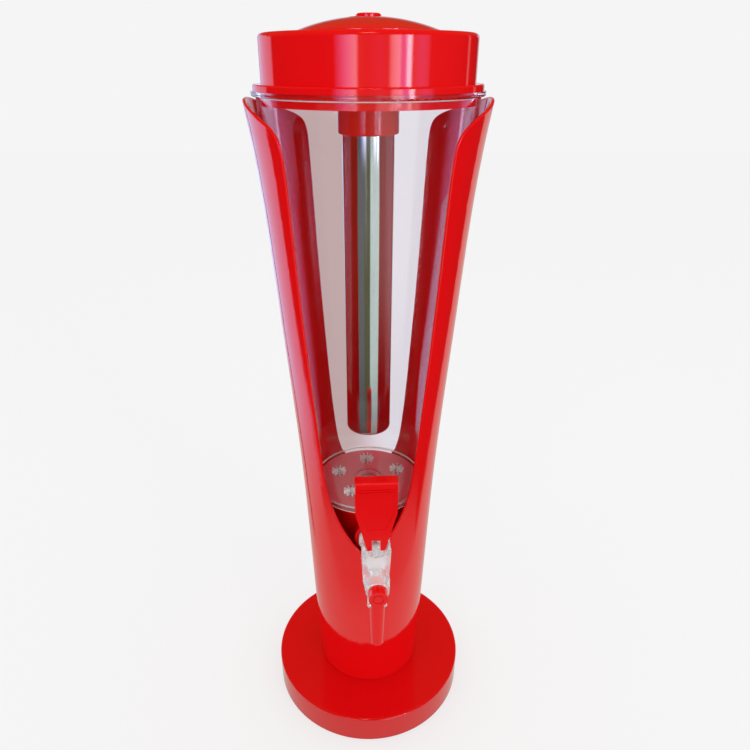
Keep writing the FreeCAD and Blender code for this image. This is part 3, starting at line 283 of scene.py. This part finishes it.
# ---- Table ----
# A white table top. The camera sees it run out into the pale background, with the tower's
# faint shadow on it. Gloss sees it end in front and on the right, with a dark lead lying on it.
TABLE_SIZE = 9.0
TABLE_GRID = 12
TABLE_GAP = 0.0003          # between the table and the foot pad
TABLE_FRONT = -0.198        # gloss sees the white table end here, in front of the axis
TABLE_SKEW = 0.463          # how its front edge runs back to the left
TABLE_RIGHT = 0.26          # its right end, and how far that moves out per metre backwards
TABLE_SPREAD = 0.9
TABLE_EDGE = 0.03
SHADOW_SHARE = 0.3          # how much of a shadow the pale table shows
TABLE_GLOW = 0.935
PAPER_TONE = 0.9
BOUNCE_TONE = 0.62          # its tone for the light that it throws back
TABLE_NEAR = (0.62, 0.6, 0.56, 1.0)
TABLE_LEFT = (0.7, 1.2, 1.75, 1.0)
TABLE_LEFT_X = (-0.6, -0.25)                # from the left tone to the near one
TABLE_THROUGH_X = (-0.04, 0.04)
LEAD_LEFT = 0.175           # how far left of the axis the lead lies
LEAD_SKEW = 0.479           # and how far that grows per metre backwards
LEAD_SPREAD = 0.25          # how far in front of the axis its two edges would meet
LEAD_SIDES = (0.0006, 0.0016)               # half its width beside its distance, squared
LEAD_START, LEAD_FADE = 0.16, 0.08


def flat_sheet(name, size, height):
    """A fine square sheet, centred on the axis."""
    mesh = bpy.data.meshes.new(name)
    shape = bmesh.new()
    bmesh.ops.create_grid(shape, x_segments=TABLE_GRID, y_segments=TABLE_GRID, size=size / 2)
    bmesh.ops.translate(shape, verts=shape.verts, vec=(0.0, 0.0, height))
    shape.to_mesh(mesh)
    shape.free()
    made = bpy.data.objects.new(name, mesh)
    scene.collection.objects.link(made)
    return made


table_finish = bpy.data.materials.new("white_table")
table_finish.use_nodes = True
table = Recipe(table_finish.node_tree, "ShaderNodeOutputMaterial")
table_x, table_y, _ = table.axes(table.node("ShaderNodeNewGeometry", None, None, "Position"))

right_end = table_y * TABLE_SPREAD + TABLE_RIGHT - table_x
front_end = table_x * TABLE_SKEW + table_y - TABLE_FRONT
on_table = table.smooth(front_end, -TABLE_EDGE, TABLE_EDGE)
on_table = on_table * table.smooth(right_end, -TABLE_EDGE, TABLE_EDGE)
beside_lead = (table_y * LEAD_SKEW + table_x + LEAD_LEFT) / (table_y + LEAD_SPREAD)
off_lead = table.smooth(beside_lead * beside_lead, *LEAD_SIDES)
off_lead = table.clamp(off_lead + table.smooth(LEAD_START - table_y, 0.0, LEAD_FADE))
in_gloss = table.blend(table.smooth(table_x, *TABLE_LEFT_X), TABLE_LEFT, TABLE_NEAR)
in_gloss = table.blend(off_lead, (*DOOR_EDGE, 1.0), in_gloss)
in_glass = table.blend(table.smooth(table_x, *TABLE_THROUGH_X), THROUGH_LEFT, THROUGH_RIGHT)

paper = table.node("ShaderNodeBsdfDiffuse", None, {"Color": grey(PAPER_TONE)})
bounce = table.node("ShaderNodeBsdfDiffuse", None, {"Color": grey(BOUNCE_TONE)})
glow = table.node("ShaderNodeEmission", None, {"Strength": TABLE_GLOW})
open_air = table.node("ShaderNodeBsdfTransparent")
gloss_glow = table.node("ShaderNodeEmission", None, {"Color": in_gloss})
glass_glow = table.node("ShaderNodeEmission", None, {"Color": in_glass})

camera_ray, straight_through, mirrored = table.ray_kinds()
shown = table.mix(mirrored, bounce, table.mix(on_table, open_air, gloss_glow))
shown = table.mix(straight_through, shown, glass_glow)
table.surface(table.mix(camera_ray, shown, table.mix(SHADOW_SHARE, glow, paper)))
table_top = flat_sheet("table_top", TABLE_SIZE, cad_low.z - TABLE_GAP)
table_top.data.materials.append(table_finish)


# ---- Soft boxes ----
# Two tall cloth-fronted lamps stand in front, left and right, and a wide one hangs above and
# behind. Gloss and glass don't see them: the room's own windows are what they show.
LAMP_TARGET = Vector((0.0, 0.0, 0.45))


def soft_box(name, azimuth, distance, height, width, tall, tone):
    """A lamp that faces the tower; azimuth 0 is in front and grows to the right."""
    lamp = bpy.data.lights.new(name, "AREA")
    lamp.shape = "RECTANGLE"
    lamp.size, lamp.size_y = width, tall
    lamp.energy = tone * math.pi * width * tall
    holder = bpy.data.objects.new(name, lamp)
    angle = math.radians(azimuth)
    holder.location = (distance * math.sin(angle), -distance * math.cos(angle), height)
    holder.rotation_euler = (LAMP_TARGET - holder.location).to_track_quat("-Z", "Y").to_euler()
    holder.visible_camera = False
    holder.visible_glossy = False
    holder.visible_transmission = False
    scene.collection.objects.link(holder)


soft_box("right_box", azimuth=38.0, distance=1.7, height=1.0, width=0.42, tall=1.3, tone=2.0)
soft_box("left_box", azimuth=-24.0, distance=1.7, height=1.0, width=0.34, tall=1.3, tone=1.4)
soft_box("top_box", azimuth=160.0, distance=0.25, height=1.75, width=1.1, tall=1.1, tone=0.25)


# ---- Foot pad ----
# A thin disc of black closed-cell foam, glued under the base so that the tower doesn't slip.
# Its skin is matt, with cells of less than a millimetre.
class Finish(Recipe):
    """A material on the principled shader: constants on its sockets, fields where it varies."""

    def __init__(self, name, **constants):
        self.material = bpy.data.materials.new(name)
        self.material.use_nodes = True
        super().__init__(self.material.node_tree, "ShaderNodeOutputMaterial")
        self.shader = self.tree.nodes.new("ShaderNodeBsdfPrincipled")
        self.surface(Field(self, self.shader.outputs[0]))
        self.set(**constants)
        self.place = self.node("ShaderNodeTexCoord", None, None, "Object")

    def set(self, **values):
        for name, value in values.items():
            self.fill(self.shader.inputs[name.replace("_", " ")], value)

    def noise(self, per_metre, detail=2.0, stretch=(1.0, 1.0, 1.0), rough=0.5):
        """Noise of a real scale, from 0 to 1, drawn out along the axes by the stretch."""
        drawn = self.node("ShaderNodeVectorMath", {"operation": "MULTIPLY"},
                          {0: self.place, 1: stretch})
        return self.node("ShaderNodeTexNoise", None, {
            "Vector": drawn, "Scale": per_metre, "Detail": detail, "Roughness": rough})

    def bump(self, height, depth):
        self.set(Normal=self.node("ShaderNodeBump", None, {"Height": height, "Distance": depth}))


def grained(name, grain, dark, pale, smoothest, unevenness, depth, **constants):
    """A finish whose tone, gloss and skin all follow one grain, which is noise's own values."""
    finish = Finish(name, **constants)
    skin = finish.noise(*grain)
    finish.set(Base_Color=finish.blend(skin, (*dark, 1.0), (*pale, 1.0)))
    finish.set(Roughness=skin * unevenness + smoothest)
    finish.bump(skin, depth)
    return finish


def dress(finish, *names):
    """Gives CAD nodes a finish."""
    for name in names:
        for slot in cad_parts[name].material_slots:
            slot.material = finish.material


foam = grained("black_foam", grain=(2600.0, 2.0), dark=(0.012, 0.012, 0.013),
               pale=(0.035, 0.035, 0.036), smoothest=0.75, unevenness=0.2, depth=0.0002,
               IOR=1.45)
dress(foam, "foot_pad")


# ---- Base cover ----
# A flat plate of black moulded plastic with a fine stippled skin. It closes the hollow disc
# from below and is held by screws.
cover_black = grained("black_cover", grain=(1800.0, 3.0), dark=(0.014, 0.014, 0.015),
                      pale=(0.03, 0.03, 0.032), smoothest=0.4, unevenness=0.25, depth=0.00012,
                      IOR=1.46)
dress(cover_black, "base_cover")


# ---- Base weight ----
# A ring of grey iron, cast in sand and left rough. It lies in the disc, over the cover, and
# keeps the full tower from tipping.
iron = grained("cast_iron", grain=(700.0, 4.0), dark=(0.05, 0.05, 0.055),
               pale=(0.13, 0.12, 0.11), smoothest=0.5, unevenness=0.3, depth=0.0003,
               Metallic=0.9)
dress(iron, "base_weight")


# ---- Base disc, column and shells ----
# Hollow disc, round column and the two tall outer halves, injection moulded in glossy red ABS.
# The skin has faint flow marks, fine scratches from handling and a barely uneven gloss. Disc
# and column take a darker copy of the same red, which is painted shade for the lower tower.
DEEP_RED = (0.82, 0.0025, 0.004)
WARM_RED = (0.88, 0.0035, 0.0055)
# how much darker the painted shade on the disc and column makes the red
LOWER_PAINTED_SHADE = 0.82
RED_FLOW = (9.0, 3.0)                       # flow marks: how many per metre, and their detail
RED_GRAIN = (1400.0, 2.0)
RED_WAVES = (45.0, 1.0)
UPRIGHT_SCRATCHES = (240.0, 3.0, (1.0, 1.0, 0.05), 0.7)
UPRIGHT_SCRATCHED = (0.63, 0.72)            # over this span the noise turns into a scratch
ROUND_SCRATCHES = (260.0, 3.0, (0.05, 0.6, 1.0), 0.7)
ROUND_SCRATCHED = (0.66, 0.74)
FLOW_DULLS, SCRATCH_DULLS = 0.03, 0.05      # what they add to the roughness
THIN_COAT, COAT_CHANGE = 0.05, 0.1
GRAIN_HEIGHT, SCRATCH_HEIGHT = 0.4, 0.3     # beside the waves' height
RED_RELIEF = 0.00002


def shaded(tone, shade):
    return (*(part * shade for part in tone), 1.0)


def moulded_red(name, shade=1.0, gloss=0.06):
    """Glossy red ABS; shade darkens it as painted shade, and gloss is its smoothest roughness."""
    red = Finish(name, IOR=1.5, Coat_Roughness=0.04)
    flow = red.noise(*RED_FLOW)
    grain = red.noise(*RED_GRAIN)
    scratches = red.smooth(red.noise(*UPRIGHT_SCRATCHES), *UPRIGHT_SCRATCHED)
    cross = red.smooth(red.noise(*ROUND_SCRATCHES), *ROUND_SCRATCHED)
    red.set(Base_Color=red.blend(flow, shaded(DEEP_RED, shade), shaded(WARM_RED, shade)))
    red.set(Roughness=gloss + flow * FLOW_DULLS + (scratches + cross) * SCRATCH_DULLS)
    red.set(Coat_Weight=THIN_COAT + flow * COAT_CHANGE)
    relief = grain * GRAIN_HEIGHT + red.noise(*RED_WAVES) + scratches * SCRATCH_HEIGHT
    red.bump(relief, RED_RELIEF)
    return red


dress(moulded_red("red_abs"), "front_shell", "rear_shell")
# a darker copy of the same red: painted shade on the disc and column
dress(moulded_red("base_red_painted_shade", LOWER_PAINTED_SHADE), "base_disc", "core_tube")


# ---- Screws and pins ----
# Bright stainless fasteners with fine rings from turning. Screws hold the cover, the column,
# the shells, the vessel and the lid's knob, and two pressed pins carry the tap's lever.
screw_steel = grained("screw_steel", grain=(900.0, 2.0, (0.1, 0.1, 1.0)), dark=(0.5, 0.5, 0.51),
                      pale=(0.66, 0.66, 0.67), smoothest=0.18, unevenness=0.2, depth=0.00002,
                      Metallic=1.0)
dress(screw_steel, "base_screws", "core_screws", "seam_screws", "vessel_screws", "lid_screw",
      "tap_pins")


# ---- Vessel ----
# One tapered moulding of clear plastic with a wall of 2.5 mm, polished inside and out. It
# stands on the column's plate, and five screws from below hold it by its floor.
VESSEL_TINT = (0.97, 0.978, 0.985, 1.0)
PALEST_TINT = (0.985, 0.99, 0.995, 1.0)
LIGHT_LEFT = (0.975, 0.975, 0.98, 1.0)      # what a wall lets through of soft light
CLEAR_FLOW = (30.0, 2.0)
CLEAR_FILM = (14.0, 4.0)    # a film of handling, where this noise is high
FILM_SHOWS = (0.45, 0.8)
POLISH = 0.004


def clear_moulding(name, tint, haze, ripple, transmission=1.0):
    """Clear plastic that lets light through and keeps a faint uneven skin."""
    clear = Finish(name, IOR=1.49, Transmission_Weight=transmission)
    flow = clear.noise(*CLEAR_FLOW)
    film = clear.smooth(clear.noise(*CLEAR_FILM), *FILM_SHOWS)
    clear.set(Base_Color=clear.blend(flow, tint, PALEST_TINT))
    clear.set(Roughness=film * haze + POLISH)
    clear.bump(flow, ripple)
    lit_through = clear.node("ShaderNodeBsdfTransparent", None, {0: LIGHT_LEFT})
    ray = clear.outputs(clear.node("ShaderNodeLightPath"))
    soft_light = clear.clamp(ray("Is Shadow Ray") + ray("Is Diffuse Ray"))
    clear.surface(clear.mix(soft_light, Field(clear, clear.shader.outputs[0]), lit_through))
    return clear


vessel_clear = clear_moulding("clear_vessel", VESSEL_TINT, haze=0.01, ripple=0.00002)
dress(vessel_clear, "vessel")


# ---- Seals ----
# Moulded rings and a plug of food-grade silicone, milky and soft, squeezed between the pieces
# that they seal. The vessel's gasket is pink, against the red column.
def soft_silicone(name, dark, pale):
    """Silicone with a faint bloom, which light enters a little way."""
    return grained(name, grain=(500.0, 2.0), dark=dark, pale=pale, smoothest=0.35,
                   unevenness=0.15, depth=0.00003, IOR=1.41, Subsurface_Weight=0.2,
                   Subsurface_Radius=(0.002, 0.002, 0.002))


milky_silicone = soft_silicone("silicone", (0.7, 0.7, 0.68), (0.8, 0.8, 0.79))
dress(milky_silicone, "spigot_seal", "tap_gasket", "lid_seal", "ice_tube_seal", "valve_plug")
rosy_silicone = soft_silicone("rosy_silicone", (0.94, 0.11, 0.14), (0.97, 0.16, 0.2))
dress(rosy_silicone, "vessel_gasket")


# ---- Sump and tap nut ----
# Two mouldings of white nylon inside the column. The sump leads the drink from the drain to
# the tap, and the nut is screwed onto the tap's shank from within.
nylon = grained("white_nylon", grain=(350.0, 3.0), dark=(0.72, 0.72, 0.7),
                pale=(0.82, 0.82, 0.81), smoothest=0.22, unevenness=0.15, depth=0.00003,
                IOR=1.5)
dress(nylon, "outlet_sump", "tap_nut")


# ---- Vessel floor ----
# The clear moulding's own trim: a star of ribs on each of the five screw bosses and a low rim
# round the drain. The ribs' pale gold, barely clear tint is a painted glint. Fine pale beads
# inside and outside where the floor meets the wall are painted reflections of the floor's edge.
VESSEL_TURN = math.radians(3.7)
FLOOR_Z = 0.2517
SUNK = 0.0001               # how far the trim reaches into the floor
BOSS_TOP = 0.2539
BOSS_RING_R = 0.029
BOSS_COUNT = 5
RIB_COUNT = 9
RIB_INNER, RIB_OUTER = 0.0016, 0.0068
RIB_HALF = 0.0007
RIB_TAPER = 0.4             # a rib's width at its top beside that at its foot
RIB_RISE = 0.0009           # above the boss
RIB_FACES = ((0, 1, 2, 3), (4, 5, 6, 7), (0, 1, 5, 4), (1, 2, 6, 5), (2, 3, 7, 6), (3, 0, 4, 7))
# pale gold and barely clear: painted glints on the ribs, and on the beads
PAINTED_GLINT_TINT = (0.97, 0.94, 0.86, 1.0)
DRAIN_INNER_R, DRAIN_OUTER_R = 0.0112, 0.0136
DRAIN_SIDE, DRAIN_TOP = 0.0012, 0.0019
DRAIN_BEVEL = 0.0006
# thin pale rings that paint the reflections along the floor's edge, inside and out
REFLECTION_BEADS = ((0.0498, 0.0007, 0.00042), (0.0522, -0.0036, 0.00038))     # radius, rise, half width
BEAD_SIDES = 8
BEAD_STEPS = 96


def new_piece(name, shape, finish, body="stand", smooth=True):
    """An object from mesh code, with a finish, which rides on a body."""
    mesh = bpy.data.meshes.new(name)
    bmesh.ops.recalc_face_normals(shape, faces=shape.faces)
    shape.to_mesh(mesh)
    shape.free()
    mesh.polygons.foreach_set("use_smooth", [smooth] * len(mesh.polygons))
    mesh.materials.append(finish.material)
    piece = bpy.data.objects.new(name, mesh)
    scene.collection.objects.link(piece)
    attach(piece, body)
    return piece


def lathe(shape, profile, steps=64):
    """Adds a closed ring, turned about Z from (radius, height) points, to a mesh."""
    rings = []
    for step in range(steps):
        angle = math.tau * step / steps
        rings.append([shape.verts.new((radius * math.cos(angle), radius * math.sin(angle), height))
                      for radius, height in profile])
    for ring, following in zip(rings, rings[1:] + rings[:1]):
        for index in range(len(profile)):
            after = (index + 1) % len(profile)
            shape.faces.new((ring[index], following[index], following[after], ring[after]))


def rib(shape, centre, angle, inner, outer, low, high, half):
    """Adds one small rib that points away from a centre and is narrower at its top."""
    corners = []
    for height, share in ((low, 1.0), (high, RIB_TAPER)):
        for reach, side in ((inner, -half), (outer, -half), (outer, half), (inner, half)):
            along = Vector((math.cos(angle), math.sin(angle), 0.0)) * reach
            across = Vector((-math.sin(angle), math.cos(angle), 0.0)) * side * share
            corners.append(shape.verts.new(centre + along + across + Vector((0.0, 0.0, height))))
    for face in RIB_FACES:
        shape.faces.new([corners[index] for index in face])


# ribs and beads in a pale, barely clear plastic: painted glints and reflections
glint_clear = clear_moulding("clear_painted_glints", PAINTED_GLINT_TINT, haze=0.2, ripple=0.0002, transmission=0.25)
stars = bmesh.new()
for boss in range(BOSS_COUNT):
    boss_turn = VESSEL_TURN + math.pi / 2 + boss * math.tau / BOSS_COUNT
    boss_x, boss_y = BOSS_RING_R * math.cos(boss_turn), BOSS_RING_R * math.sin(boss_turn)
    for index in range(RIB_COUNT):
        rib(stars, Vector((boss_x, boss_y, 0.0)), math.tau * index / RIB_COUNT,
            RIB_INNER, RIB_OUTER, low=FLOOR_Z - SUNK, high=BOSS_TOP + RIB_RISE, half=RIB_HALF)
new_piece("floor_stars", stars, glint_clear, smooth=False)

drain = bmesh.new()
lathe(drain, [
    (DRAIN_INNER_R, FLOOR_Z - SUNK), (DRAIN_OUTER_R, FLOOR_Z - SUNK),
    (DRAIN_OUTER_R, FLOOR_Z + DRAIN_SIDE), (DRAIN_OUTER_R - DRAIN_BEVEL, FLOOR_Z + DRAIN_TOP),
    (DRAIN_INNER_R + DRAIN_BEVEL, FLOOR_Z + DRAIN_TOP), (DRAIN_INNER_R, FLOOR_Z + DRAIN_SIDE)])
new_piece("drain_rim", drain, vessel_clear)

# painted reflections: two fine pale rings where the floor meets the wall
reflection_beads = bmesh.new()
bead_angles = [math.tau * side / BEAD_SIDES for side in range(BEAD_SIDES)]
for bead_r, bead_rise, bead_half in REFLECTION_BEADS:
    lathe(reflection_beads, [(bead_r + bead_half * math.cos(angle),
                   FLOOR_Z + bead_rise + bead_half * math.sin(angle))
                  for angle in bead_angles], BEAD_STEPS)
new_piece("floor_painted_reflections", reflection_beads, glint_clear)


# ---- Tap ----
# A thick clear moulding, held in the column by its nut, with a red plug in its nose and a red
# spout below. The red lever turns on two pins, and its foot lifts a pale turned rod by its ball.
TAP_TINT = (0.98, 0.985, 0.99, 1.0)

tap_clear = clear_moulding("clear_tap", TAP_TINT, haze=0.015, ripple=0.0009, transmission=0.71)
dress(tap_clear, "tap_body", "valve_bonnet")

acetal = grained("grey_acetal", grain=(1500.0, 1.0, (0.1, 0.1, 1.0)), dark=(0.7, 0.71, 0.71),
                 pale=(0.8, 0.81, 0.81), smoothest=0.2, unevenness=0.1, depth=0.00002,
                 IOR=1.48)
dress(acetal, "valve_stem")

tap_red = moulded_red("tap_red", gloss=0.1)
dress(tap_red, "tap_handle", "tap_front_plug", "tap_spout")


# ---- Lid ----
# Red moulded cap with a shallow dome, on a red skirt that closes the vessel. A screw from
# inside holds its small knob, which has grip flutes moulded round its side.
KNOB_R = 0.0079
KNOB_TOP = 0.6228
FLUTE_COUNT = 14
FLUTE_DEPTH = 0.0006        # into the knob and out of it
FLUTE_HEAD, FLUTE_FOOT = 0.0006, 0.0021     # below the knob's top
FLUTE_HALF = 0.00085

lid_red = moulded_red("lid_red", gloss=0.05)
dress(lid_red, "lid_cap", "lid_knob", "lid_liner", "ice_tube_collar")

flutes = bmesh.new()
for index in range(FLUTE_COUNT):
    rib(flutes, Vector((0.0, 0.0, 0.0)), math.tau * index / FLUTE_COUNT,
        KNOB_R - FLUTE_DEPTH, KNOB_R + FLUTE_DEPTH,
        low=KNOB_TOP - FLUTE_FOOT, high=KNOB_TOP - FLUTE_HEAD, half=FLUTE_HALF)
new_piece("knob_flutes", flutes, lid_red, "lid", smooth=False)


# ---- Ice tube ----
# Thin-walled stainless tube with a closed foot, polished along its length, so that its fine
# lines run up and down. It hangs by its red collar from the stub under the lid.
DULL_STEEL = (0.66, 0.66, 0.65, 1.0)
BRIGHT_STEEL = (0.75, 0.75, 0.74, 1.0)
POLISH_LINES = (900.0, 3.0, (1.0, 1.0, 0.01))
STEEL_CLOUDS = (25.0, 2.0)
LINES_DULL, CLOUDS_DULL = 0.06, 0.04        # what they add to the roughness
STEEL_GLOSS = 0.03
LINE_RELIEF = 0.000004

steel = Finish("polished_steel", Metallic=1.0)
polish = steel.noise(*POLISH_LINES)
cloud = steel.noise(*STEEL_CLOUDS)
steel.set(Base_Color=steel.blend(cloud, DULL_STEEL, BRIGHT_STEEL))
steel.set(Roughness=polish * LINES_DULL + cloud * CLOUDS_DULL + STEEL_GLOSS)
steel.bump(polish, LINE_RELIEF)
dress(steel, "ice_tube")
